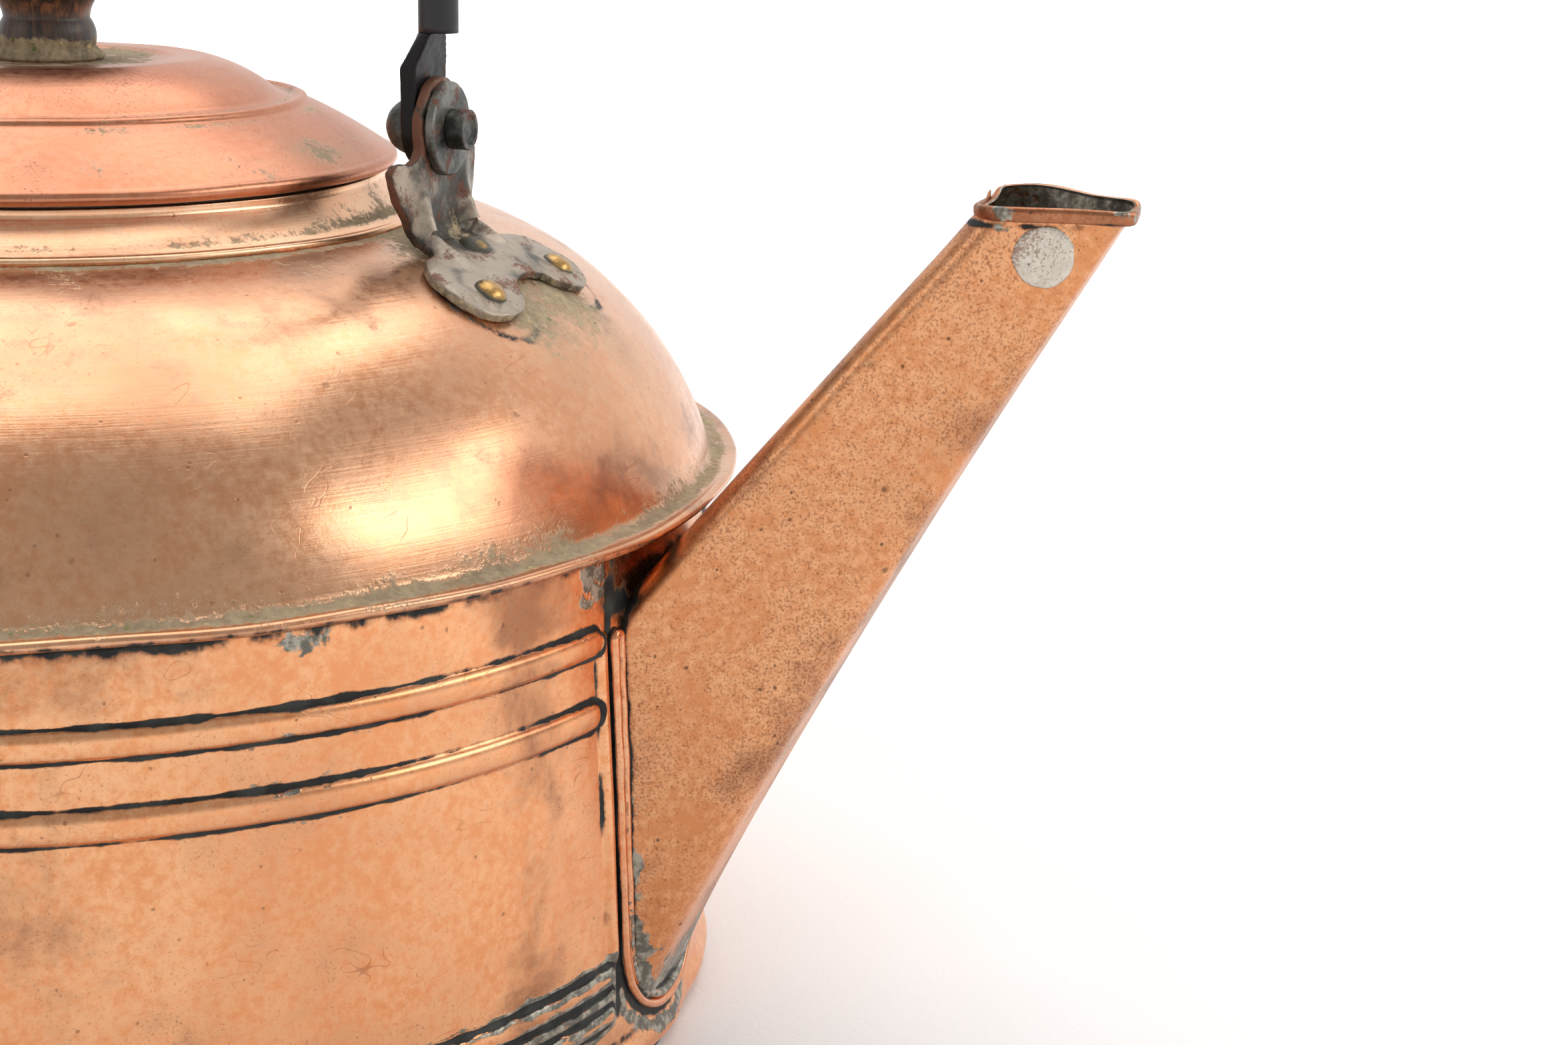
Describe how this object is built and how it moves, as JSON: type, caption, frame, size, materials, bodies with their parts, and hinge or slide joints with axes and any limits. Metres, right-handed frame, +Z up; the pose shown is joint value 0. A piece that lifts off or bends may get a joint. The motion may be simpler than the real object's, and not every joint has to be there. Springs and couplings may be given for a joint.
{
  "type": "copper kettle",
  "caption": "Old copper stove kettle with domed shoulder, straight tapering spout, lift-off lid with wooden knob and swinging black bail handle.",
  "frame": {"origin": "centre of the kettle's flat underside, on its vertical axis", "axes": "+Z up, +X towards the spout's mouth, the bail's hinge line along X"},
  "size_m": [0.3102, 0.24, 0.2926],
  "materials": {
    "copper_body": "old satin copper with black oxide in the ribs",
    "copper_base": "dull scorched copper",
    "copper_dome": "old polished copper with grey dust in the corners",
    "copper_collar": "satin copper, dusty",
    "copper_spout": "speckled brown copper",
    "copper_seat": "copper with traces of grey solder",
    "copper_band": "copper with green and grey traces",
    "tin_patch": "scratched grey tin",
    "copper_lid": "satin copper, dusty in the corners",
    "tinned_bezel": "dull tinned copper",
    "turned_wood": "dark stained turned wood, worn",
    "screw_steel": "dull steel",
    "washer_steel": "dull steel",
    "black_lacquer": "black lacquer, chipped",
    "bail_iron": "black lacquer with rust",
    "ear_iron": "brown-grey iron with light rust",
    "rivet_brass": "worn brass",
    "pivot_iron": "dark worn iron"
  },
  "bodies": {
    "kettle": {"body_wall": "copper_body", "base_plate": "copper_base", "shoulder_dome": "copper_dome", "neck_collar": "copper_collar", "spout_shell": "copper_spout", "spout_seat": "copper_seat", "spout_mouth_band": "copper_band", "spout_patch": "tin_patch", "ear_front": "ear_iron", "ear_rear": "ear_iron", "ear_rivets_front": "rivet_brass", "ear_rivets_rear": "rivet_brass", "pivot_pin_front": "pivot_iron", "pivot_pin_rear": "pivot_iron", "pivot_washer_front": "pivot_iron", "pivot_washer_rear": "pivot_iron"},
    "bail": {"bail_tube": "black_lacquer", "bail_lug_front": "bail_iron", "bail_lug_rear": "bail_iron"},
    "lid": {"lid_shell": "copper_lid", "lid_bezel": "tinned_bezel", "lid_knob": "turned_wood", "knob_screw": "screw_steel", "knob_washer": "washer_steel"}
  },
  "joints": [
    {"name": "bail_swing", "type": "hinge", "parent": "kettle", "child": "bail", "pos_m": [0, 0, 0.1583], "axis": [1, 0, 0], "range_deg": [-82, 82]},
    {"name": "lid_lift", "type": "slide", "parent": "kettle", "child": "lid", "axis": [0, 0, 1], "range_m": [0, 0.06]}
  ]
}
